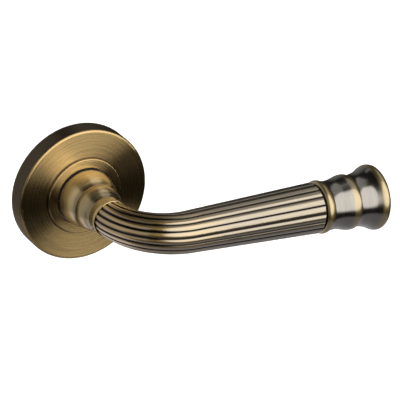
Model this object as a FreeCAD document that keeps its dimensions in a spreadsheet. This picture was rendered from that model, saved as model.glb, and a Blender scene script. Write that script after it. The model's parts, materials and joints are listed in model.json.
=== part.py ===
import FreeCAD, Part
import math
import os
import Sketcher
from FreeCAD import Placement, Rotation, Vector

# A sprung door lever on a round rose.
# Frame: the spindle axis is Y and the door's face is the plane y = 0.
# The room is on the -Y side, the lever points along +X and +Z is up.

doc = FreeCAD.newDocument("door_lever")
sheet = doc.addObject("Spreadsheet::Sheet", "sizes")

# Driving sizes in millimetres, angles in degrees.
SIZES = {
    # rose cover
    "rose_radius": 26.0,
    "cover_depth": 7.4,
    "cover_wall": 1.4,
    "cover_rim_round": 1.0,
    "ring_radius": 14.9,
    "ring_step": 1.0,
    "ring_wall": 1.3,
    "ring_round": 0.35,
    "cover_bore_radius": 11.3,
    "bore_round": 0.4,
    "pry_slot_half": 2.0,
    # rose base
    "rim_gap": 0.3,
    "base_depth": 5.6,
    "base_lead_in": 0.5,
    "hub_radius": 13.6,
    "hub_depth": 6.8,
    "spring_room_radius": 13.0,
    "spring_room_floor": 6.0,
    "sleeve_radius": 10.4,
    "sleeve_end": 3.6,
    "recess_radius": 13.3,
    "recess_depth": 3.1,
    "snap_wire_radius": 0.7,
    "snap_ring_turn": 340.0,
    # fixings
    "post_centres": 38.0,
    "post_radius": 3.5,
    "post_flange_radius": 4.4,
    "post_flange_thick": 1.0,
    "post_length_behind": 4.0,
    "post_thread_radius": 1.65,
    "wood_hole_centres": 39.0,
    "wood_hole_radius": 2.1,
    "countersink": 1.6,
    # bearing
    "journal_radius": 8.0,
    "running_gap": 0.05,
    "bush_radius": 9.4,
    "bush_flange_radius": 10.9,
    # return spring and its driver
    "spring_wire": 1.1,
    "spring_radius": 11.8,
    "spring_pitch": 1.2,
    "spring_turns": 1.4,
    "spring_leg": 1.2,
    "spring_leg_play": 0.1,
    "driver_radius": 12.9,
    "driver_thick": 1.1,
    "lug_radius": 16.2,
    "lug_angle": 16.0,
    "lug_room": 0.4,
    "stop_play": 0.5,
    "lever_travel": 45.0,
    "flats_half": 7.0,
    "washer_play": 0.15,
    "circlip_gap": 22.0,
    "circlip_ear_radius": 1.2,
    "circlip_hole_radius": 0.55,
    # lever
    "neck_mouth": 29.2,
    "neck_foot_radius": 9.8,
    "arm_root": 28.11,
    "bend_radius": 21.16,
    "reed_end": 73.8,
    "reed_count": 18,
    "root_crest_radius": 6.62,
    "end_crest_radius": 9.6,
    "groove_share": 0.955,
    "socket_radius": 6.75,
    "seat_radius": 8.7,
    "finial_start": 74.65,
    # spindle and small hardware
    "spindle_side": 7.95,
    "spindle_play": 0.075,
    "spindle_reach": 24.0,
    "spindle_inner_end": 19.2,
    "neck_stud_radius": 2.5,
    "neck_stud_length": 15.4,
    "neck_stud_in_neck": 7.0,
    "finial_stud_radius": 3.0,
    "finial_stud_length": 21.0,
    "finial_stud_in_arm": 9.6,
    "stud_fit": 0.05,
    "dowel_radius": 0.8,
    "dowel_length": 5.4,
    "dowel_in_neck": 2.6,
    "dowel_offset": 4.2,
    "dowel_fit": 0.03,
    "hole_spare": 0.4,
    "grub_radius": 2.0,
    "grub_length": 5.2,
    "grub_socket_radius": 1.15,
    "grub_socket_depth": 2.2,
    "grub_station": 14.0,
    "stop_pin_radius": 1.0,
    "stop_pin_length": 12.0,
    "stop_pin_station": 2.6,
}

for row, (alias, value) in enumerate(SIZES.items(), start=1):
    sheet.set(f"A{row}", alias)
    sheet.set(f"B{row}", str(value))
    sheet.setAlias(f"B{row}", alias)
doc.recompute()


def size(alias):
    return float(sheet.get(alias))


# Sizes that follow from the driving ones.
arm_axis = size("arm_root") + size("bend_radius")
base_radius = size("rose_radius") - size("cover_wall") - size("rim_gap")
journal_bore = size("journal_radius") + size("running_gap")
shoulder = size("hub_depth") + 0.9
post_x = size("post_centres") / 2


# ---------------------------------------------------------------- helpers

def origin_part(body, role):
    for item in body.Origin.OriginFeatures:
        if item.Role == role:
            return item
    raise ValueError(role)


def new_body(name):
    body = doc.addObject("PartDesign::Body", name)
    body.Label = name
    return body


def new_sketch(body, name, role="XY_Plane", offset=None):
    sketch = body.newObject("Sketcher::SketchObject", name)
    sketch.AttachmentSupport = [(origin_part(body, role), "")]
    sketch.MapMode = "FlatFace"
    if offset is not None:
        sketch.AttachmentOffset = Placement(Vector(*offset), Rotation())
    return sketch


def front_sketch(body, name, depth):
    """Sketch parallel to the door, `depth` in front of its face; pads run towards the room."""
    return new_sketch(body, name, "XZ_Plane", (0, 0, depth))


def point(pair):
    return Vector(pair[0], pair[1], 0)


def draw(sketch, start, *steps):
    """Closed outline. A step is ("line", p), ("arc", middle, p) or ("curve", points...)."""
    here = start
    for kind, *points in steps:
        if kind == "line":
            edge = Part.LineSegment(point(here), point(points[-1]))
        elif kind == "arc":
            edge = Part.Arc(point(here), point(points[0]), point(points[-1]))
        else:
            edge = Part.BSplineCurve()
            edge.interpolate([point(p) for p in (here, *points)])
        sketch.addGeometry(edge, False)
        here = points[-1]
    if (point(here) - point(start)).Length > 1e-6:
        sketch.addGeometry(Part.LineSegment(point(here), point(start)), False)


def polygon(sketch, corners):
    draw(sketch, corners[0], *[("line", corner) for corner in corners[1:]])


def circle(sketch, radius_expression, centre=(0, 0)):
    """Circle whose radius follows an expression in the sheet's names."""
    shape = Part.Circle(point(centre), Vector(0, 0, 1), 1.0)
    index = sketch.addGeometry(shape, False)
    for letter, value in zip("XY", centre):
        kind = "Distance" + letter
        sketch.addConstraint(Sketcher.Constraint(kind, -1, 1, index, 3, value))
    number = sketch.addConstraint(Sketcher.Constraint("Radius", index, 1.0))
    sketch.setExpression(f"Constraints[{number}]", radius_expression)


def revolve(body, sketch, name, axis="V_Axis", kind="PartDesign::Revolution", angle=None):
    feature = body.newObject(kind, name)
    feature.Profile = sketch
    feature.ReferenceAxis = (sketch, [axis])
    if angle is None:
        feature.Angle = 360
    else:
        feature.setExpression("Angle", angle)
    doc.recompute()
    return feature


def pad(body, sketch, name, length, kind="PartDesign::Pad", backwards=False):
    """Pad or pocket whose length follows an expression in the sheet's names."""
    feature = body.newObject(kind, name)
    feature.Profile = sketch
    feature.setExpression("Length", length)
    feature.Reversed = backwards
    doc.recompute()
    return feature


def pocket(body, sketch, name, length, backwards=False):
    """Cut that runs against the sketch's normal, or along it when `backwards`."""
    before = body.Shape.Volume
    feature = pad(body, sketch, name, length, "PartDesign::Pocket", backwards)
    if body.Shape.Volume > before - 1e-4:
        raise ValueError(f"{body.Label}: {name} cuts nothing")
    return feature


def ring_edges(shape, radius, height):
    """Names of the full circles about the Y axis with this radius, at y = -height."""
    names = []
    for number, edge in enumerate(shape.Edges, start=1):
        curve = edge.Curve
        if not isinstance(curve, Part.Circle):
            continue
        if abs(curve.Radius - radius) < 1e-4 and abs(curve.Center.y + height) < 1e-4:
            names.append(f"Edge{number}")
    return names


def dress(body, kind, name, value, *rings):
    """Fillet or chamfer on rings given as (radius, height) about the Y axis."""
    base = body.Tip
    feature = body.newObject(kind, name)
    edges = [edge for ring in rings for edge in ring_edges(base.Shape, *ring)]
    feature.Base = (base, edges)
    if kind.endswith("Fillet"):
        feature.Radius = value
    else:
        feature.Size = value
    doc.recompute()


def polar(radius, degrees):
    """Point in the door plane: degrees run from +X towards +Z."""
    turn = math.radians(degrees)
    return (radius * math.cos(turn), radius * math.sin(turn))


def cylinder(name, radius, length, start, direction):
    """Cylinder with expressions for its radius and length."""
    rod = doc.addObject("Part::Cylinder", name)
    rod.Label = name
    rod.setExpression("Radius", radius)
    rod.setExpression("Height", length)
    rod.Placement = Placement(Vector(*start), Rotation(Vector(0, 0, 1), Vector(*direction)))
    return rod


# ---------------------------------------------------------------- rose

def make_rose_cover():
    """Pressed cover: dished disc with a raised ring round the neck's bore."""
    body = new_body("rose_cover")
    rim = size("rose_radius")
    face = size("cover_depth")
    top = face + size("ring_step")
    wall = size("cover_wall")
    ring = size("ring_radius")
    bore = size("cover_bore_radius")
    inside = rim - wall
    section = new_sketch(body, "cover_section")
    polygon(section, [
        (rim, 0),
        (rim, -face),
        (ring, -face),
        (ring, -top),
        (bore, -top),
        (bore, size("ring_wall") - top),
        (ring - size("ring_step"), size("ring_wall") - top),
        (ring - size("ring_step"), wall - face),
        (inside, wall - face),
        (inside, 0),
    ])
    revolve(body, section, "cover_turned")
    dress(body, "PartDesign::Fillet", "rim_round", size("cover_rim_round"), (rim, face))
    dress(body, "PartDesign::Fillet", "ring_round", size("ring_round"), (ring, top))
    dress(body, "PartDesign::Fillet", "bore_round", size("bore_round"), (bore, top))
    # Slot under the rim for the blade that prises the cover off.
    slot = front_sketch(body, "pry_slot_outline", 0)
    side = size("pry_slot_half")
    low = -rim - 1
    high = -inside + 1
    polygon(slot, [(-side, low), (side, low), (side, high), (-side, high)])
    pocket(body, slot, "pry_slot", "0.8 * sizes.cover_wall", backwards=True)
    return body


def annular_sector(sketch, inner, outer, first, last):
    middle = (first + last) / 2
    draw(
        sketch,
        polar(inner, first),
        ("line", polar(outer, first)),
        ("arc", polar(outer, middle), polar(outer, last)),
        ("line", polar(inner, last)),
        ("arc", polar(inner, middle), polar(inner, first)),
    )


def snap_groove():
    """Depth of the snap ring's groove floor, and the two sides of the groove."""
    wire = size("snap_wire_radius")
    middle = size("base_depth") / 2 + 0.2
    gap = size("running_gap")
    floor = size("rose_radius") - size("cover_wall") - 2 * (wire + gap)
    return floor, middle - wire - gap, middle + wire + gap


def lug_rest_angle():
    """Where the driver's stop lug points with the lever level."""
    return -90 + size("lever_travel") / 2


def make_rose_base():
    """Cast base: disc, hub with the bearing sleeve, spring room and fixing holes."""
    body = new_body("rose_base")
    depth = size("base_depth")
    hub = size("hub_depth")
    sleeve_bore = size("bush_radius") + size("running_gap")
    floor, low_side, high_side = snap_groove()
    section = new_sketch(body, "base_section")
    polygon(section, [
        (sleeve_bore, -hub),
        (size("hub_radius"), -hub),
        (size("hub_radius"), -depth),
        (base_radius, -depth),
        (base_radius, -high_side),
        (floor, -high_side),
        (floor, -low_side),
        (base_radius, -low_side),
        (base_radius, 0),
        (size("recess_radius"), 0),
        (size("recess_radius"), -size("recess_depth")),
        (size("spring_room_radius"), -size("recess_depth")),
        (size("spring_room_radius"), -size("spring_room_floor")),
        (size("sleeve_radius"), -size("spring_room_floor")),
        (size("sleeve_radius"), -size("sleeve_end")),
        (sleeve_bore, -size("sleeve_end")),
    ])
    revolve(body, section, "base_turned")
    dress(body, "PartDesign::Chamfer", "base_lead_in", size("base_lead_in"), (base_radius, depth))
    # The lug's notch leaves a little play at both stops.
    notch = front_sketch(body, "lug_notch_outline", 0)
    half = size("lug_angle") / 2 + size("stop_play")
    rest = lug_rest_angle()
    annular_sector(
        notch,
        size("recess_radius") - 0.5,
        size("lug_radius") + size("lug_room"),
        rest + half,
        rest - size("lever_travel") - half,
    )
    pocket(body, notch, "lug_notch", "sizes.recess_depth", backwards=True)
    # Seats for the two fixing posts.
    through = front_sketch(body, "post_hole_outline", 0)
    seat = front_sketch(body, "post_seat_outline", depth)
    for side in (-post_x, post_x):
        circle(through, "sizes.post_radius + 0.02", (side, 0))
        circle(seat, "sizes.post_flange_radius + sizes.running_gap", (side, 0))
    pocket(body, through, "post_holes", "sizes.base_depth", backwards=True)
    pocket(body, seat, "post_seats", "sizes.post_flange_thick")
    # Countersunk wood screw holes above and below the hub.
    wood = front_sketch(body, "wood_hole_outline", 0)
    for side in (-1, 1):
        circle(wood, "sizes.wood_hole_radius", (0, side * size("wood_hole_centres") / 2))
    pocket(body, wood, "wood_screw_holes", "sizes.base_depth", backwards=True)
    wood_rims = [
        f"Edge{number}"
        for number, edge in enumerate(body.Tip.Shape.Edges, start=1)
        if isinstance(edge.Curve, Part.Circle)
        and abs(edge.Curve.Radius - size("wood_hole_radius")) < 1e-4
        and abs(edge.Curve.Center.y + depth) < 1e-4
    ]
    base = body.Tip
    countersink = body.newObject("PartDesign::Chamfer", "countersinks")
    countersink.Base = (base, wood_rims)
    countersink.Size = size("countersink")
    doc.recompute()
    # Hole in the spring room's floor for the spring's fixed leg.
    anchor = front_sketch(body, "anchor_outline", size("spring_room_floor") - 0.5)
    circle(anchor, "sizes.spring_wire / 2 + sizes.spring_leg_play", (size("spring_radius"), 0))
    pocket(body, anchor, "spring_anchor", "2", backwards=True)
    return body


def make_cover_snap_ring():
    """Open ring of round wire in the base's rim; the cover clicks over it."""
    body = new_body("cover_snap_ring")
    floor, low_side, high_side = snap_groove()
    wire = size("snap_wire_radius")
    section = new_sketch(body, "wire_section")
    circle(section, "sizes.snap_wire_radius", (floor + wire + size("running_gap"), -(low_side + high_side) / 2))
    revolve(body, section, "wire_ring", angle="sizes.snap_ring_turn")
    return body


def make_fixing_posts():
    """Two flanged posts, tapped right through for the screws from the door's far side."""
    front = size("base_depth")
    total = "sizes.base_depth + sizes.post_length_behind"
    shank = cylinder("post_shank", "sizes.post_radius", total, (post_x, -front, 0), (0, 1, 0))
    flange = cylinder(
        "post_flange",
        "sizes.post_flange_radius",
        "sizes.post_flange_thick",
        (post_x, -front, 0),
        (0, 1, 0),
    )
    thread = cylinder(
        "post_thread",
        "sizes.post_thread_radius",
        f"{total} + 2",
        (post_x, -front - 1, 0),
        (0, 1, 0),
    )
    blank = doc.addObject("Part::MultiFuse", "post_blank")
    blank.Shapes = [shank, flange]
    post = doc.addObject("Part::Cut", "post_right")
    post.Base = blank
    post.Tool = thread
    other = doc.addObject("Part::Mirroring", "post_left")
    other.Source = post
    other.Normal = Vector(1, 0, 0)
    pair = doc.addObject("Part::Compound", "fixing_posts")
    pair.Label = "fixing_posts"
    pair.Links = [post, other]
    doc.recompute()
    return pair


# ---------------------------------------------------------------- bearing and spring

def make_neck_bush():
    """Flanged plastic bearing between the base's sleeve and the lever's journal."""
    body = new_body("neck_bush")
    section = new_sketch(body, "bush_section")
    flange_face = shoulder - 0.08
    polygon(section, [
        (journal_bore, -flange_face),
        (size("bush_flange_radius"), -flange_face),
        (size("bush_flange_radius"), -size("hub_depth")),
        (size("bush_radius"), -size("hub_depth")),
        (size("bush_radius"), -size("sleeve_end")),
        (journal_bore, -size("sleeve_end")),
    ])
    revolve(body, section, "bush_turned")
    return body


def make_washer(name, depth, outer, thick):
    """Flat ring on the journal whose room side lies at y = -depth."""
    body = new_body(name)
    outline = front_sketch(body, name + "_outline", depth - thick)
    circle(outline, "sizes.journal_radius + sizes.washer_play")
    circle(outline, outer)
    pad(body, outline, name + "_plate", str(thick))
    return body


def double_d(sketch, radius, half):
    """Circle of `radius` with flats at x = -half and x = half."""
    rise = math.sqrt(radius**2 - half**2)
    draw(
        sketch,
        (half, -rise),
        ("line", (half, rise)),
        ("arc", (0, radius), (-half, rise)),
        ("line", (-half, -rise)),
        ("arc", (0, -radius), (half, -rise)),
    )


driver_back = size("recess_depth") - size("running_gap") - size("driver_thick")


def spring_end_angle():
    """Direction of the spring's moving leg in the door plane."""
    return -360 * size("spring_turns")


def make_spring_driver():
    """Steel plate keyed on the journal's flats: winds the spring and meets the stops."""
    body = new_body("spring_driver")
    outline = front_sketch(body, "driver_outline", driver_back)
    radius = size("driver_radius")
    lug = size("lug_radius")
    rest = lug_rest_angle()
    half = size("lug_angle") / 2
    draw(
        outline,
        polar(radius, rest + half),
        ("line", polar(lug, rest + half)),
        ("arc", polar(lug, rest), polar(lug, rest - half)),
        ("line", polar(radius, rest - half)),
        ("arc", polar(radius, rest + 180), polar(radius, rest + half)),
    )
    double_d(outline, journal_bore, size("flats_half") + size("running_gap"))
    moving_leg = polar(size("spring_radius"), spring_end_angle())
    circle(outline, "sizes.spring_wire / 2 + sizes.spring_leg_play", moving_leg)
    pad(body, outline, "driver_plate", "sizes.driver_thick")
    return body


def make_return_spring():
    """Torsion spring with one leg in the base's floor and one in the driver."""
    body = new_body("return_spring")
    low = size("spring_room_floor") - size("spring_wire") / 2 - size("running_gap")
    high = low - size("spring_pitch") * size("spring_turns")
    radius = size("spring_radius")
    section = new_sketch(body, "spring_wire_section")
    circle(section, "sizes.spring_wire / 2", (radius, -low))
    coil = body.newObject("PartDesign::AdditiveHelix", "coil")
    coil.Profile = section
    coil.ReferenceAxis = (section, ["V_Axis"])
    coil.HasBeenEdited = True
    coil.Mode = "pitch-turns-angle"
    coil.setExpression("Pitch", "sizes.spring_pitch")
    coil.setExpression("Turns", "sizes.spring_turns")
    doc.recompute()
    fixed = front_sketch(body, "fixed_leg_outline", low)
    circle(fixed, "sizes.spring_wire / 2", (radius, 0))
    pad(body, fixed, "fixed_leg", "sizes.spring_leg")
    moving = front_sketch(body, "moving_leg_outline", high)
    circle(moving, "sizes.spring_wire / 2", polar(radius, spring_end_angle()))
    pad(body, moving, "moving_leg", f"{high - driver_back}", backwards=True)
    return body


def make_wave_washer():
    """Thin spring washer with three waves that takes up the end play."""
    thick = 0.2
    wave = 0.08
    steps = 36

    def wavy_ring(radius):
        points = []
        for number in range(steps):
            turn = 2 * math.pi * number / steps
            height = -1.05 + wave * math.cos(3 * turn)
            points.append(Vector(radius * math.cos(turn), height, radius * math.sin(turn)))
        curve = Part.BSplineCurve()
        curve.interpolate(points, PeriodicFlag=True)
        return curve.toShape()

    inner = wavy_ring(size("journal_radius") + size("washer_play"))
    outer = wavy_ring(size("journal_radius") + 1.9)
    sheet_metal = Part.makeRuledSurface(inner, outer)
    washer = doc.addObject("Part::Feature", "wave_washer")
    washer.Label = "wave_washer"
    washer.Shape = sheet_metal.extrude(Vector(0, -thick, 0))
    washer.Placement = Placement()
    return washer


def circlip_groove():
    """Floor radius and the two sides of the circlip's groove in the journal."""
    return size("journal_radius") - 0.8, 0.05, 0.95


def make_circlip():
    """Open retaining ring with two plier ears, in the journal's groove."""
    body = new_body("circlip")
    floor, back, front = circlip_groove()
    play = size("running_gap")
    inner = floor + play
    outer = size("journal_radius") + 1.3
    gap = size("circlip_gap")
    near = back + play
    thick = front - back - 2 * play
    outline = front_sketch(body, "circlip_outline", near)
    annular_sector(outline, inner, outer, 90 + gap, 450 - gap)
    pad(body, outline, "circlip_plate", str(thick))
    ears = front_sketch(body, "circlip_ear_outline", near)
    holes = front_sketch(body, "circlip_hole_outline", near)
    for side in (90 + gap, 90 - gap):
        circle(ears, "sizes.circlip_ear_radius", polar(outer, side))
        circle(holes, "sizes.circlip_hole_radius", polar(outer, side))
    pad(body, ears, "circlip_ears", str(thick))
    pocket(body, holes, "circlip_holes", str(2 * thick), backwards=True)
    return body


# ---------------------------------------------------------------- lever

def make_lever_neck():
    """Turned neck: journal, bell, bead and lip, bored for the spindle and the arm."""
    body = new_body("lever_neck")
    journal = size("journal_radius")
    floor, back, front = circlip_groove()
    mouth = size("neck_mouth")
    section = new_sketch(body, "neck_section")
    draw(
        section,
        (0, 1.0),
        ("line", (journal - 0.3, 1.0)),
        ("line", (journal, 0.7)),
        ("line", (journal, -back)),
        ("line", (floor, -back)),
        ("line", (floor, -front)),
        ("line", (journal, -front)),
        ("line", (journal, -shoulder)),
        ("line", (size("neck_foot_radius"), -shoulder)),
        ("curve", (10.5, -8.3), (10.85, -9.1), (10.95, -10.3), (10.78, -12.2), (10.32, -14.2),
         (9.7, -16.0), (9.2, -17.2), (8.97, -18.0)),
        ("curve", (8.92, -19.2), (8.7, -20.7), (8.3, -22.1), (7.7, -23.4), (7.2, -24.3),
         (6.98, -24.9)),
        ("curve", (6.98, -26.0), (7.1, -27.2), (7.17, -28.3), (7.08, 0.1 - mouth)),
        ("line", (6.98, -mouth)),
        ("line", (size("socket_radius"), -mouth)),
        ("line", (size("socket_radius"), -size("arm_root"))),
        ("line", (0, -size("arm_root"))),
    )
    revolve(body, section, "neck_turned")
    # Square bore for the spindle, open to the door.
    square = front_sketch(body, "square_bore_outline", -1.0)
    half = size("spindle_side") / 2 + size("spindle_play")
    polygon(square, [(-half, -half), (half, -half), (half, half), (-half, half)])
    pocket(body, square, "square_bore", "sizes.spindle_inner_end + 1.3", backwards=True)
    # Two flats that key the spring driver.
    flats = front_sketch(body, "flats_outline", -1.0)
    flat = size("flats_half")
    for side in (-1, 1):
        near = side * flat
        far = side * (journal + 2)
        polygon(flats, [(near, -9), (far, -9), (far, 9), (near, 9)])
    pocket(body, flats, "driver_flats", "sizes.recess_depth + 1", backwards=True)
    # Tapped hole and dowel hole that join the arm.
    stud = front_sketch(body, "stud_hole_outline", size("arm_root"))
    circle(stud, "sizes.neck_stud_radius + sizes.stud_fit")
    circle(stud, "sizes.dowel_radius + sizes.dowel_fit", (0, size("dowel_offset")))
    pocket(body, stud, "arm_joint_holes", "sizes.dowel_in_neck + sizes.hole_spare / 2")
    deep = front_sketch(body, "deep_hole_outline", size("arm_root"))
    circle(deep, "sizes.neck_stud_radius + sizes.stud_fit")
    pocket(body, deep, "stud_hole", "sizes.neck_stud_in_neck + sizes.hole_spare")
    # Tapped hole under the bell for the grub screw.
    grub = new_sketch(body, "grub_hole_outline", "XY_Plane", (0, 0, -13))
    circle(grub, "sizes.grub_radius + sizes.running_gap", (0, -size("grub_station")))
    pocket(body, grub, "grub_hole", "9.5", backwards=True)
    return body


def reed_outline(sketch, crest):
    """Ring of round reeds meeting in sharp grooves; a groove lies on the top and bottom."""
    count = int(size("reed_count"))
    pitch = 2 * math.pi / count
    groove = crest * size("groove_share")

    def at(radius, turn):
        return Vector(-radius * math.cos(turn), radius * math.sin(turn), 0)

    for number in range(count):
        turn = number * pitch
        arc = Part.Arc(at(groove, turn - pitch / 2), at(crest, turn), at(groove, turn + pitch / 2))
        sketch.addGeometry(arc, False)


def make_lever_arm():
    """Reeded grip that tapers from the neck round the bend to the finial."""
    body = new_body("lever_arm")
    root = size("arm_root")
    bend = size("bend_radius")
    end = size("reed_end")
    path = new_sketch(body, "arm_path")
    slant = bend * (1 - math.sqrt(0.5))
    path.addGeometry(Part.Arc(
        Vector(0, -root, 0),
        Vector(slant, slant - arm_axis, 0),
        Vector(bend, -arm_axis, 0),
    ), False)
    path.addGeometry(Part.LineSegment(Vector(bend, -arm_axis, 0), Vector(end, -arm_axis, 0)), False)
    # The crest radius grows evenly along the path.
    curved = bend * math.pi / 2
    whole = curved + end - bend
    growth = (size("end_crest_radius") - size("root_crest_radius")) / whole
    first = front_sketch(body, "reeds_at_root", root)
    reed_outline(first, size("root_crest_radius"))
    middle = new_sketch(body, "reeds_after_bend", "YZ_Plane", (-arm_axis, 0, bend))
    reed_outline(middle, size("root_crest_radius") + growth * curved)
    last = new_sketch(body, "reeds_at_end", "YZ_Plane", (-arm_axis, 0, end))
    reed_outline(last, size("end_crest_radius"))
    grip = body.newObject("PartDesign::AdditivePipe", "reeded_grip")
    grip.Profile = first
    grip.Spine = path
    grip.Sections = [middle, last]
    grip.Transformation = "Multisection"
    doc.recompute()
    # Round the reeds' ends down to the grooves.
    crest = size("end_crest_radius")
    drop = crest * (1 - size("groove_share"))
    trim = new_sketch(body, "reed_end_section", "XY_Plane", (0, -arm_axis, 0))
    axis_line = Part.LineSegment(Vector(0, 0, 0), Vector(end, 0, 0))
    trim.addGeometry(axis_line, True)
    corner = drop * math.sqrt(0.5)
    draw(
        trim,
        (end, crest - drop),
        ("arc", (end - drop + corner, crest - drop + corner), (end - drop, crest)),
        ("line", (end - drop, crest + 1)),
        ("line", (end + 1, crest + 1)),
        ("line", (end + 1, crest - drop)),
    )
    revolve(body, trim, "reed_ends", "Axis0", "PartDesign::Groove")
    # Plain seat against the finial.
    seat = new_sketch(body, "seat_outline", "YZ_Plane", (-arm_axis, 0, end))
    circle(seat, "sizes.seat_radius")
    pad(body, seat, "finial_seat", "sizes.finial_start - sizes.reed_end - 0.02")
    tail = new_sketch(body, "finial_stud_outline", "YZ_Plane", (-arm_axis, 0, size("finial_start")))
    circle(tail, "sizes.finial_stud_radius + sizes.stud_fit")
    pocket(body, tail, "finial_stud_hole", "sizes.finial_stud_in_arm + sizes.hole_spare")
    stud = front_sketch(body, "neck_stud_outline", root)
    circle(stud, "sizes.neck_stud_radius + sizes.stud_fit")
    stud_hole = "sizes.neck_stud_length - sizes.neck_stud_in_neck + sizes.hole_spare"
    pocket(body, stud, "neck_stud_hole", stud_hole, backwards=True)
    dowel = front_sketch(body, "dowel_outline", root)
    circle(dowel, "sizes.dowel_radius + sizes.dowel_fit", (0, size("dowel_offset")))
    dowel_hole = "sizes.dowel_length - sizes.dowel_in_neck + sizes.hole_spare / 2"
    pocket(body, dowel, "dowel_hole", dowel_hole, backwards=True)
    return body


def make_finial():
    """Turned end: ring, swelling with a bead, flare with a rounded rim."""
    body = new_body("finial")
    # Domed end: part of a sphere centred on the arm's axis.
    edge_x, edge_radius, dome_height = 26.3, 11.2, 0.95
    dome_radius = (edge_radius**2 + dome_height**2) / (2 * dome_height)
    tip_x = edge_x + dome_height
    half_way = edge_radius / 2
    half_way_x = tip_x - dome_radius + math.sqrt(dome_radius**2 - half_way**2)
    section = new_sketch(body, "finial_section")
    draw(
        section,
        (0, 0),
        ("line", (0, size("seat_radius"))),
        ("curve", (0.25, 9.55), (1.25, 10.05), (2.5, 9.85), (3.5, 9.45)),
        ("curve", (5.6, 9.24), (7.8, 9.42), (10.0, 9.98), (11.8, 10.42), (12.9, 10.5),
         (14.0, 10.33), (14.8, 10.0)),
        ("curve", (16.6, 9.9), (18.8, 10.3), (20.8, 10.95), (22.6, 11.9), (24.2, 12.45),
         (25.5, 12.15), (edge_x, edge_radius)),
        ("arc", (half_way_x, half_way), (tip_x, 0)),
    )
    revolve(body, section, "finial_turned", "H_Axis")
    hole = new_sketch(body, "stud_outline", "YZ_Plane")
    circle(hole, "sizes.finial_stud_radius + sizes.stud_fit")
    hole_length = "sizes.finial_stud_length - sizes.finial_stud_in_arm + sizes.hole_spare"
    pocket(body, hole, "stud_hole", hole_length, backwards=True)
    body.setExpression("Placement.Base.x", "sizes.finial_start")
    body.setExpression("Placement.Base.y", "-sizes.arm_root - sizes.bend_radius")
    doc.recompute()
    return body


def make_studs_and_pins():
    """Hidden studs, the dowel that stops the arm turning and the spindle's stop pin."""
    root = size("arm_root")
    rods = [
        ("neck_stud", (0, size("neck_stud_in_neck") - root, 0), (0, -1, 0)),
        ("dowel", (0, size("dowel_in_neck") - root, size("dowel_offset")), (0, -1, 0)),
        ("finial_stud", (size("finial_start") - size("finial_stud_in_arm"), -arm_axis, 0), (1, 0, 0)),
        ("stop_pin", (0, size("stop_pin_station"), -size("stop_pin_length") / 2), (0, 0, 1)),
    ]
    labels = {"dowel": "arm_dowel", "stop_pin": "spindle_stop_pin"}
    return [
        cylinder(
            labels.get(name, name),
            f"sizes.{name}_radius",
            f"sizes.{name}_length",
            start,
            direction,
        )
        for name, start, direction in rods
    ]


def make_spindle():
    """Square bar from the neck through the door's latch."""
    body = new_body("spindle")
    half = size("spindle_side") / 2
    outline = front_sketch(body, "spindle_outline", -size("spindle_reach"))
    corner = half - 0.4
    polygon(outline, [
        (-half, -corner), (-corner, -half), (corner, -half), (half, -corner),
        (half, corner), (corner, half), (-corner, half), (-half, corner),
    ])
    pad(body, outline, "spindle_bar", "sizes.spindle_reach + sizes.spindle_inner_end")
    cross = new_sketch(body, "stop_pin_outline", "XY_Plane", (0, 0, -half))
    circle(cross, "sizes.stop_pin_radius + 0.02", (0, size("stop_pin_station")))
    pocket(body, cross, "stop_pin_hole", "sizes.spindle_side", backwards=True)
    return body


def make_grub_screw():
    """Socket set screw that clamps the neck on the spindle from below."""
    body = new_body("grub_screw")
    outline = new_sketch(body, "screw_outline", "XY_Plane")
    circle(outline, "sizes.grub_radius")
    pad(body, outline, "screw_blank", "sizes.grub_length")
    socket = new_sketch(body, "socket_outline", "XY_Plane")
    polygon(socket, [polar(size("grub_socket_radius"), 60 * number) for number in range(6)])
    pocket(body, socket, "hex_socket", "sizes.grub_socket_depth", backwards=True)
    top = size("spindle_side") / 2 + 0.01
    body.Placement = Placement(Vector(0, 0, -top - size("grub_length")), Rotation())
    body.setExpression("Placement.Base.y", "-sizes.grub_station")
    doc.recompute()
    return body


# ---------------------------------------------------------------- build and save

parts = [
    make_rose_cover(),
    make_rose_base(),
    make_cover_snap_ring(),
    make_fixing_posts(),
    make_neck_bush(),
    make_washer("thrust_washer", size("sleeve_end") - size("running_gap"), "sizes.sleeve_radius - 0.1", 0.4),
    make_return_spring(),
    make_spring_driver(),
    make_washer("retaining_washer", driver_back - size("running_gap"), "sizes.journal_radius + 3", 0.5),
    make_wave_washer(),
    make_circlip(),
    make_lever_neck(),
    make_lever_arm(),
    make_finial(),
    *make_studs_and_pins(),
    make_spindle(),
    make_grub_screw(),
]
doc.recompute()

for item in doc.Objects:
    if "Invalid" in item.State or "Error" in item.State:
        raise ValueError(f"{item.Label}: {item.State}")

os.makedirs("parts", exist_ok=True)
for item in parts:
    shape = item.Shape
    if shape.isNull() or not shape.isValid() or not shape.Solids:
        raise ValueError(f"{item.Label}: no valid solid")
    box = shape.BoundBox
    print(
        f"{item.Label}: {len(shape.Solids)} solid(s), {shape.Volume:.1f} mm3, "
        f"x {box.XMin:.2f}..{box.XMax:.2f}, y {box.YMin:.2f}..{box.YMax:.2f}, "
        f"z {box.ZMin:.2f}..{box.ZMax:.2f}"
    )
    shape.exportStep(f"parts/{item.Label}.step")
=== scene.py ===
import json
import math

import bpy
from mathutils import Matrix, Vector


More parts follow.
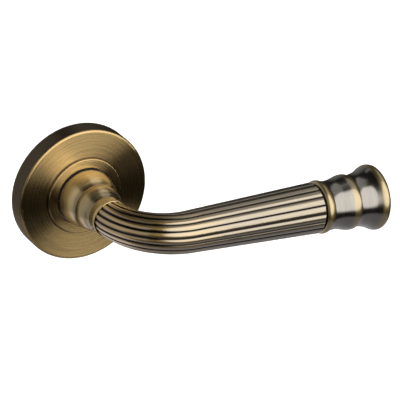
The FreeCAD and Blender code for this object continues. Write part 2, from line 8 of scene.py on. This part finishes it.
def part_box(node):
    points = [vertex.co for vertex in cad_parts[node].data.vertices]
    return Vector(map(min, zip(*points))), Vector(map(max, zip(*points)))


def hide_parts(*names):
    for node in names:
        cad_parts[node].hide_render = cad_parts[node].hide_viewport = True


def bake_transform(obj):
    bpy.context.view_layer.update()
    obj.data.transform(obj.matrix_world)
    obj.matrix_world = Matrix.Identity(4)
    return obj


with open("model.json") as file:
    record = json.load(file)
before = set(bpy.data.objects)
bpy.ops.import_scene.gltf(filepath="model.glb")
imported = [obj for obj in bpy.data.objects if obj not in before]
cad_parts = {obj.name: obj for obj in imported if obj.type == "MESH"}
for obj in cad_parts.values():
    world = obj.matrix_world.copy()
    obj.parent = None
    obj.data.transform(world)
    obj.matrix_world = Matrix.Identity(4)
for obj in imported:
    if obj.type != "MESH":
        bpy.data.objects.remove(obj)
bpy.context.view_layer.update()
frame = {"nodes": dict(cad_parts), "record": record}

MM = 0.001

# Sizes read from the frame, in metres.
rose_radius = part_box("rose_cover")[1].x
neck_mouth = -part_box("lever_neck")[0].y
arm_root = -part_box("lever_arm")[1].y
finial_low, finial_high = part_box("finial")
finial_start = finial_low.x
arm_axis = -(finial_low.y + finial_high.y) / 2
bend_radius = arm_axis - arm_root

# Where the reeds' crests run and end, which the boxes don't give.
root_crest = 6.62 * MM
end_crest = 9.6 * MM
reed_end = 73.8 * MM

# Finishes. The lacquered antique brass is a dark oxide that is rubbed back to gold on the high places.
WARM_OXIDE = (0.1, 0.092, 0.08)
BROWN_OXIDE = (0.07, 0.056, 0.04)
# Near black for the reeds' grooves: oxide together with painted shade.
GROOVE_OXIDE_AND_SHADE = (0.014, 0.011, 0.007)
EDGE_TINT = (0.8, 0.73, 0.66)
FACE_GOLD = (0.385, 0.275, 0.12)
NECK_GOLD = (0.56, 0.43, 0.2)
# Crest golds along the arm: the brighter root and bend golds are rubbed gold with painted highlight.
ROOT_HIGHLIGHT_GOLD = (0.42, 0.285, 0.11)
BEND_HIGHLIGHT_GOLD = (0.21, 0.146, 0.052)
GRIP_GOLD = (0.135, 0.103, 0.05)
FINIAL_GOLD = (0.24, 0.18, 0.065)


# ---------------------------------------------------------------- node helpers

class Graph:
    """Short calls for adding and joining nodes in a material's or the world's tree."""

    def __init__(self, tree):
        self.tree = tree

    def add(self, kind, **settings):
        node = self.tree.nodes.new(kind)
        for key, value in settings.items():
            setattr(node, key, value)
        return node

    def feed(self, socket, value):
        if isinstance(value, bpy.types.NodeSocket):
            self.tree.links.new(value, socket)
        else:
            socket.default_value = value

    def calc(self, operation, *values):
        node = self.add("ShaderNodeMath", operation=operation)
        for socket, value in zip(node.inputs, values):
            self.feed(socket, value)
        return node.outputs[0]

    def fold(self, operation, values):
        """The operation over all the values, two by two from the left."""
        result = values[0]
        for value in values[1:]:
            result = self.calc(operation, result, value)
        return result

    def total(self, *values):
        return self.fold("ADD", values)

    def product(self, *values):
        return self.fold("MULTIPLY", values)

    def highest(self, *values):
        return self.fold("MAXIMUM", values)

    def length(self, first, second):
        """Length of a vector from its two components."""
        squares = self.total(self.product(first, first), self.product(second, second))
        return self.calc("SQRT", squares)

    def ramp(self, value, first, last, low=0.0, high=1.0):
        """Smooth step from `low` at `first` to `high` at `last`."""
        node = self.add("ShaderNodeMapRange", interpolation_type="SMOOTHSTEP")
        for socket, number in zip(node.inputs, (value, first, last, low, high)):
            self.feed(socket, number)
        return node.outputs[0]

    def line(self, value, last, low, high):
        """Straight run from `low` at 0 to `high` at `last`."""
        return self.calc("MULTIPLY_ADD", value, (high - low) / last, low)

    def choose(self, switch, first, second):
        """`first` where the switch is 0, `second` where it is 1."""
        change = self.calc("SUBTRACT", second, first)
        return self.calc("MULTIPLY_ADD", change, switch, first)

    def band(self, value, middle, half, fade):
        """1 within `half` of the middle, fading to 0 over `fade` more."""
        away = self.calc("ABSOLUTE", self.calc("SUBTRACT", value, middle))
        return self.ramp(away, half + fade, half)

    def mix(self, factor, first, second):
        """Colour between two colours."""
        node = self.add("ShaderNodeMix", data_type="RGBA")
        self.feed(node.inputs[0], factor)
        for index, colour in ((6, first), (7, second)):
            value = colour if isinstance(colour, bpy.types.NodeSocket) else (*colour, 1.0)
            self.feed(node.inputs[index], value)
        return node.outputs[2]

    def scaled(self, colour, factor):
        """A colour times a number."""
        node = self.add("ShaderNodeVectorMath", operation="SCALE")
        self.feed(node.inputs[0], colour)
        self.feed(node.inputs["Scale"], factor)
        return node.outputs[0]

    def vector(self, *values):
        node = self.add("ShaderNodeCombineXYZ")
        for socket, value in zip(node.inputs, values):
            self.feed(socket, value)
        return node.outputs[0]

    def split(self, vector):
        node = self.add("ShaderNodeSeparateXYZ")
        self.feed(node.inputs[0], vector)
        return node.outputs

    def noise(self, vector, scale=1.0, detail=3.0):
        node = self.add("ShaderNodeTexNoise")
        self.feed(node.inputs["Vector"], vector)
        self.feed(node.inputs["Scale"], scale)
        self.feed(node.inputs["Detail"], detail)
        return node.outputs["Fac"]


class Shader(Graph):
    """A material with one principled surface."""

    def __init__(self, name):
        self.material = bpy.data.materials.new(name)
        self.material.use_nodes = True
        super().__init__(self.material.node_tree)
        self.surface = self.tree.nodes["Principled BSDF"]

    def set(self, **values):
        for key, value in values.items():
            self.feed(self.surface.inputs[key.replace("_", " ")], value)

    def place(self):
        """The point on the piece in the frame's axes, in metres."""
        coordinates = self.add("ShaderNodeTexCoord")
        return self.split(coordinates.outputs["Object"])

    def brushed_about(self, axis, anisotropy):
        """Stretch the highlights of a surface that was brushed or turned round an axis."""
        tangent = self.add("ShaderNodeTangent", direction_type="RADIAL", axis=axis)
        self.feed(self.surface.inputs["Tangent"], tangent.outputs["Tangent"])
        self.set(Anisotropic=anisotropy, Anisotropic_Rotation=0.25)

    def relief(self, height, depth):
        """Bump whose height runs over `depth` metres."""
        bump = self.add("ShaderNodeBump")
        self.feed(bump.inputs["Height"], height)
        self.feed(bump.inputs["Distance"], depth)
        self.feed(bump.inputs["Strength"], 1.0)
        self.feed(self.surface.inputs["Normal"], bump.outputs["Normal"])


# ---------------------------------------------------------------- antique finish

def turned_lines(shader, across, first, second, radius, pitch):
    """Fine lines round an axis: noise squeezed to `pitch` across, long round the axis."""
    stretch = 1.2
    fine = shader.vector(
        shader.product(shader.calc("DIVIDE", first, radius), stretch),
        shader.product(shader.calc("DIVIDE", second, radius), stretch),
        shader.calc("DIVIDE", across, pitch),
    )
    return shader.noise(fine, detail=1.0)


def turned_marks(shader, across, first, second, radius, fine_pitch, broad_pitch, fine_share):
    """Fine and broad lines together, from 0 to 1 and about 0.5 on average."""
    fine = turned_lines(shader, across, first, second, radius, fine_pitch)
    broad = turned_lines(shader, across, first, second, radius, broad_pitch)
    return shader.total(shader.product(fine, fine_share), shader.product(broad, 1 - fine_share))


def finish_antique(shader, wear, marks, oxide, gold, oxide_roughness, gold_roughness):
    """Oxide where wear is 0, rubbed gold where it is 1, varied by the brush marks."""
    feathering = 0.4
    roughness_change = 0.12
    uneven = shader.calc("SUBTRACT", marks, 0.5)
    feathered = shader.calc("ADD", wear, shader.product(uneven, feathering))
    amount = shader.ramp(feathered, 0.05, 0.95)
    tone = shader.mix(amount, oxide, gold)
    shade = shader.ramp(marks, 0.3, 0.7, 0.86, 1.1)
    rough = shader.ramp(amount, 0.0, 1.0, oxide_roughness, gold_roughness)
    rough = shader.calc("ADD", rough, shader.product(uneven, roughness_change))
    shader.set(Base_Color=shader.scaled(tone, shade), Metallic=1.0, Roughness=rough)


# ---------------------------------------------------------------- materials of the brass pieces

def rose_brass():
    """Face brushed in circles, dark side wall, rubbed edges, painted shade in the crease round the raised
    ring.
    """
    face_wear = 0.7
    rim_edge = rose_radius - 0.75 * MM
    ring_crease_shade = 15.1 * MM
    ring_edge = 14.6 * MM
    bore_edge = 11.5 * MM
    shader = Shader("rose_brushed_brass")
    x, _, z = shader.place()
    radius = shader.length(x, z)
    marks = turned_marks(shader, radius, x, z, radius, 0.12 * MM, 0.5 * MM, 0.6)
    side = shader.ramp(radius, rose_radius - 0.3 * MM, rose_radius - 0.03 * MM)
    # Painted shade: the crease at the foot of the raised ring gets the dark oxide tone.
    crease_shade = shader.product(shader.band(radius, ring_crease_shade, 0.1 * MM, 0.15 * MM), 0.8)
    unworn_and_shaded = shader.product(shader.highest(side, crease_shade), face_wear)
    wear = shader.highest(
        shader.calc("SUBTRACT", face_wear, unworn_and_shaded),
        shader.product(shader.band(radius, rim_edge, 0.12 * MM, 0.3 * MM), 0.75),
        shader.product(shader.band(radius, ring_edge, 0.12 * MM, 0.2 * MM), 0.7),
        shader.band(radius, bore_edge, 0.2 * MM, 0.3 * MM),
    )
    finish_antique(shader, wear, marks, BROWN_OXIDE, FACE_GOLD, 0.28, 0.27)
    shader.set(Specular_Tint=(*EDGE_TINT, 1.0))
    shader.brushed_about("Y", 1.0)
    shader.relief(marks, 0.01 * MM)
    return shader.material


def neck_brass():
    """Satin neck turned about Y: rubbed on the foot, bell, bead and lip, darker in the hollows."""
    foot = 9.3 * MM
    bell = 12.5 * MM
    bead = 21.0 * MM
    lip = neck_mouth - 0.4 * MM
    least_wear = 0.38
    shader = Shader("neck_satin_brass")
    x, y, z = shader.place()
    depth = shader.calc("MULTIPLY", y, -1.0)
    radius = shader.length(x, z)
    marks = turned_marks(shader, depth, x, z, radius, 0.15 * MM, 0.8 * MM, 0.5)
    wear = shader.highest(
        shader.band(depth, foot, 0.8 * MM, 1.2 * MM),
        shader.product(shader.band(depth, bell, 2.5 * MM, 4.0 * MM), 0.9),
        shader.product(shader.band(depth, bead, 0.9 * MM, 2.6 * MM), 0.6),
        shader.product(shader.band(depth, lip, 0.5 * MM, 1.2 * MM), 0.7),
        least_wear,
    )
    finish_antique(shader, wear, marks, BROWN_OXIDE, NECK_GOLD, 0.26, 0.34)
    shader.set(Specular_Tint=(*EDGE_TINT, 1.0), Coat_Weight=1.0, Coat_Roughness=0.12)
    shader.brushed_about("Y", 0.75)
    shader.relief(marks, 0.004 * MM)
    return shader.material


def arm_section(shader):
    """Share of the crest radius, from groove to crest, and the way along the grip in metres."""
    curved = bend_radius * math.pi / 2
    whole = curved + reed_end - bend_radius
    x, y, z = shader.place()
    # Round the bend's centre before the straight part, straight after it.
    side = shader.calc("SUBTRACT", bend_radius, x)
    ahead = shader.calc("SUBTRACT", -arm_root, y)
    turn = shader.calc("ARCTAN2", ahead, side)
    straight = shader.calc("GREATER_THAN", x, bend_radius)
    curved_off = shader.calc("SUBTRACT", shader.length(side, ahead), bend_radius)
    straight_off = shader.calc("SUBTRACT", -arm_axis, y)
    off = shader.choose(straight, curved_off, straight_off)
    along = shader.choose(
        straight,
        shader.product(turn, bend_radius),
        shader.calc("ADD", x, curved - bend_radius),
    )
    crest = shader.line(along, whole, root_crest, end_crest)
    return shader.calc("DIVIDE", shader.length(off, z), crest), along


def arm_brass():
    """Reeded grip: oxide and painted shade, near black, in the grooves; lacquered gold crests that grow
    darker outwards, their brighter gold near the neck and bend a painted highlight.
    """
    # The finish starts this much higher up the reeds, so the worn crests are narrowest and the painted
    # groove shade widest at the neck.
    root_narrowing = 0.018
    end_narrowing = 0.008
    groove_top = 0.956
    shader = Shader("reeded_brass")
    share, along = arm_section(shader)
    z = shader.place()[2]
    streak = shader.vector(
        shader.calc("DIVIDE", along, 9 * MM),
        shader.calc("DIVIDE", z, 0.25 * MM),
        shader.calc("DIVIDE", share, 0.02),
    )
    marks = shader.noise(streak)
    narrowing = shader.ramp(along, 0.0, 34 * MM, root_narrowing, end_narrowing)
    height = shader.calc("SUBTRACT", share, narrowing)
    wear = shader.product(shader.ramp(height, groove_top, 0.986), 0.9)
    # Painted highlight: the crest gold is brighter near the neck and round the bend, darker along the grip.
    bend_highlight_gold = shader.mix(shader.ramp(along, 10 * MM, 26 * MM), ROOT_HIGHLIGHT_GOLD, BEND_HIGHLIGHT_GOLD)
    gold = shader.mix(shader.ramp(along, 30 * MM, 50 * MM), bend_highlight_gold, GRIP_GOLD)
    finish_antique(shader, wear, marks, BROWN_OXIDE, gold, 0.25, 0.38)
    coat = shader.ramp(height, groove_top, 0.975)
    shader.set(Coat_Weight=coat, Coat_Roughness=0.08, Coat_IOR=1.95)
    tone = shader.surface.inputs["Base Color"].links[0].from_socket
    # Painted shade with the oxide: the grooves' floors and lower flanks are near black.
    shader.set(Base_Color=shader.mix(shader.ramp(height, groove_top, 0.972), GROOVE_OXIDE_AND_SHADE, tone))
    shader.relief(marks, 0.006 * MM)
    return shader.material


def finial_brass():
    """Polished end piece turned about the grip's axis, rubbed on its ring, bead and rim."""
    ring = 1.4 * MM
    bead = 13.0 * MM
    rim = 25.4 * MM
    shader = Shader("finial_brass")
    x, y, z = shader.place()
    along = shader.calc("SUBTRACT", x, finial_start)
    off = shader.calc("ADD", y, arm_axis)
    radius = shader.length(off, z)
    marks = turned_marks(shader, along, off, z, radius, 0.2 * MM, 0.9 * MM, 0.5)
    wear = shader.highest(
        shader.band(along, ring, 0.7 * MM, 1.8 * MM),
        shader.product(shader.band(along, bead, 0.5 * MM, 2.6 * MM), 0.7),
        shader.band(along, rim, 1.2 * MM, 3.2 * MM),
    )
    finish_antique(shader, wear, marks, WARM_OXIDE, FINIAL_GOLD, 0.24, 0.42)
    shader.set(Coat_Weight=1.0, Coat_Roughness=0.08, Coat_IOR=1.75)
    shader.brushed_about("X", 0.3)
    shader.relief(marks, 0.002 * MM)
    return shader.material


# ---------------------------------------------------------------- materials of the inner pieces

def plain_metal(name, colour, roughness, grain, metallic=1.0):
    """Metal or plastic with cloudy tone, uneven gloss and a fine grain."""
    cloud_size = 6 * MM
    shader = Shader(name)
    coordinates = shader.add("ShaderNodeTexCoord").outputs["Object"]
    cloud = shader.noise(coordinates, 1 / cloud_size)
    fine = shader.noise(coordinates, 1 / grain)
    dark = [channel * 0.75 for channel in colour]
    light = [min(1.0, channel * 1.15) for channel in colour]
    shader.set(Base_Color=shader.mix(shader.ramp(cloud, 0.3, 0.7), dark, light))
    shader.set(Metallic=metallic)
    shader.set(Roughness=shader.ramp(fine, 0.3, 0.7, roughness - 0.06, roughness + 0.08))
    shader.relief(fine, grain * 0.1)
    return shader.material


def paint(material, node):
    mesh = frame["nodes"][node].data
    mesh.materials.clear()
    mesh.materials.append(material)


def paint_all():
    paint(rose_brass(), "rose_cover")
    paint(neck_brass(), "lever_neck")
    paint(arm_brass(), "lever_arm")
    paint(finial_brass(), "finial")
    slots = {
        "base_zinc": plain_metal("cast_zinc", (0.45, 0.45, 0.46), 0.5, 0.5 * MM),
        "zinc_plated_steel": plain_metal("zinc_plate", (0.62, 0.63, 0.64), 0.3, 0.3 * MM),
        "spring_steel": plain_metal("oiled_steel", (0.2, 0.2, 0.22), 0.32, 0.2 * MM),
        # Black nylon, made darker still as painted shade in the gap round the bell.
        "bearing_plastic": plain_metal("nylon_gap_shade", (0.008, 0.008, 0.008), 0.6, 0.25 * MM, 0.0),
        "raw_brass": plain_metal("raw_brass", (0.7, 0.55, 0.27), 0.28, 0.25 * MM),
    }
    for part in frame["record"]["subparts"]:
        if part["material_slot"] in slots:
            paint(slots[part["material_slot"]], part["node"])


def make_winding_spring():
    """The return spring again, as a copy of the drawn one, which is hidden."""
    drawn = frame["nodes"]["return_spring"]
    spring = bpy.data.objects.new("winding_spring", drawn.data.copy())
    bpy.context.scene.collection.objects.link(spring)
    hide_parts("return_spring")
    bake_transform(spring)


# ---------------------------------------------------------------- camera and light

def make_camera():
    """The view from the left and above, with a long lens."""
    azimuth = math.radians(30.96)
    elevation = math.radians(25.03)
    roll = math.radians(3.76)
    distance = 0.9
    aim_right = 0.04649
    aim_down = 0.00465
    towards = Vector((
        -math.sin(azimuth) * math.cos(elevation),
        -math.cos(azimuth) * math.cos(elevation),
        math.sin(elevation),
    ))
    level = Vector((0, 0, 1)).cross(towards).normalized()
    upright = towards.cross(level)
    right = math.cos(roll) * level + math.sin(roll) * upright
    up = math.cos(roll) * upright - math.sin(roll) * level
    data = bpy.data.cameras.new("camera")
    data.sensor_width = 36.0
    data.lens = 217.7
    data.clip_start = 0.05
    data.clip_end = 20
    camera = bpy.data.objects.new("camera", data)
    bpy.context.scene.collection.objects.link(camera)
    place = Matrix((right, up, towards)).transposed().to_4x4()
    place.translation = aim_right * right - aim_down * up + distance * towards
    camera.matrix_world = place
    bpy.context.scene.camera = camera


def make_floor():
    """Pale floor well below the lever, out of its reflections and its light."""
    size = 12
    height = -0.16
    bpy.ops.mesh.primitive_plane_add(size=size, location=(0, 0, height))
    floor = bpy.context.object
    floor.name = "floor"
    shader = Shader("floor_paint")
    shader.set(Base_Color=(0.85, 0.85, 0.85, 1.0), Roughness=0.9)
    shader.set(Emission_Color=(1.0, 1.0, 1.0, 1.0), Emission_Strength=0.5)
    floor.data.materials.append(shader.material)
    floor.visible_glossy = False
    floor.visible_diffuse = False


def soft_box(graph, azimuth, elevation):
    """The large soft box in front: 1 inside its rounded outline, fading to 0 round it."""
    middle_azimuth = 21.5
    middle_elevation = 29
    half_width = 52
    half_height = 46
    squareness = 3.0
    across = graph.calc("MULTIPLY_ADD", azimuth, 1 / half_width, -middle_azimuth / half_width)
    upward = graph.calc("MULTIPLY_ADD", elevation, 1 / half_height, -middle_elevation / half_height)
    away = graph.total(
        graph.calc("POWER", graph.calc("ABSOLUTE", across), squareness),
        graph.calc("POWER", graph.calc("ABSOLUTE", upward), squareness),
    )
    return graph.ramp(away, 1.1, 0.35)


def weak_walls(graph, azimuth, elevation):
    """Dim walls to the left, far left and behind the lever."""
    side_strength = 0.65
    rear_strength = 0.25
    left = graph.product(
        graph.ramp(azimuth, -44.0, -52.0),
        graph.band(elevation, 17.0, 23.0, 15.0),
    )
    far_left = graph.product(
        graph.ramp(azimuth, -75.0, -95.0),
        graph.band(elevation, -10.0, 50.0, 15.0),
    )
    behind = graph.ramp(azimuth, 145.0, 165.0)
    low = graph.band(elevation, -5.0, 25.0, 20.0)
    return graph.total(
        graph.product(graph.highest(left, far_left), side_strength),
        graph.product(behind, low, rear_strength),
    )


def make_world():
    """Dim studio with a soft box in front, a faint light high on the right, weak walls and light from below.

    The azimuth is 0 straight in front of the door and grows to the right. Angles are in degrees.
    """
    box_strength = 3.7
    high_share = 0.22
    below_strength = 0.42
    everywhere = 0.03
    warm_white = (1.0, 0.97, 0.92)
    cool_white = (1.0, 0.96, 1.0)
    world = bpy.data.worlds.new("studio")
    bpy.context.scene.world = world
    world.use_nodes = True
    graph = Graph(world.node_tree)
    background = world.node_tree.nodes["Background"]
    direction = graph.add("ShaderNodeTexCoord").outputs["Generated"]
    x, y, z = graph.split(direction)
    azimuth = graph.product(graph.calc("ARCTAN2", x, graph.product(y, -1.0)), 180 / math.pi)
    elevation = graph.product(graph.calc("ARCSINE", z), 180 / math.pi)
    high_right = graph.product(
        graph.band(azimuth, 95.0, 45.0, 20.0),
        graph.band(elevation, 62.0, 14.0, 12.0),
    )
    box = graph.highest(soft_box(graph, azimuth, elevation), graph.product(high_right, high_share))
    below = graph.ramp(elevation, -33.0, -42.0)
    brightness = graph.total(
        graph.product(box, box_strength),
        graph.product(below, below_strength),
        weak_walls(graph, azimuth, elevation),
        everywhere,
    )
    lit = graph.scaled(graph.mix(below, warm_white, cool_white), brightness)
    seen = graph.add("ShaderNodeLightPath").outputs["Is Camera Ray"]
    graph.feed(background.inputs["Color"], graph.mix(seen, lit, (1.0, 1.0, 1.0)))


paint_all()
make_winding_spring()
make_camera()
make_floor()
make_world()

bpy.context.scene.view_settings.view_transform = "Standard"
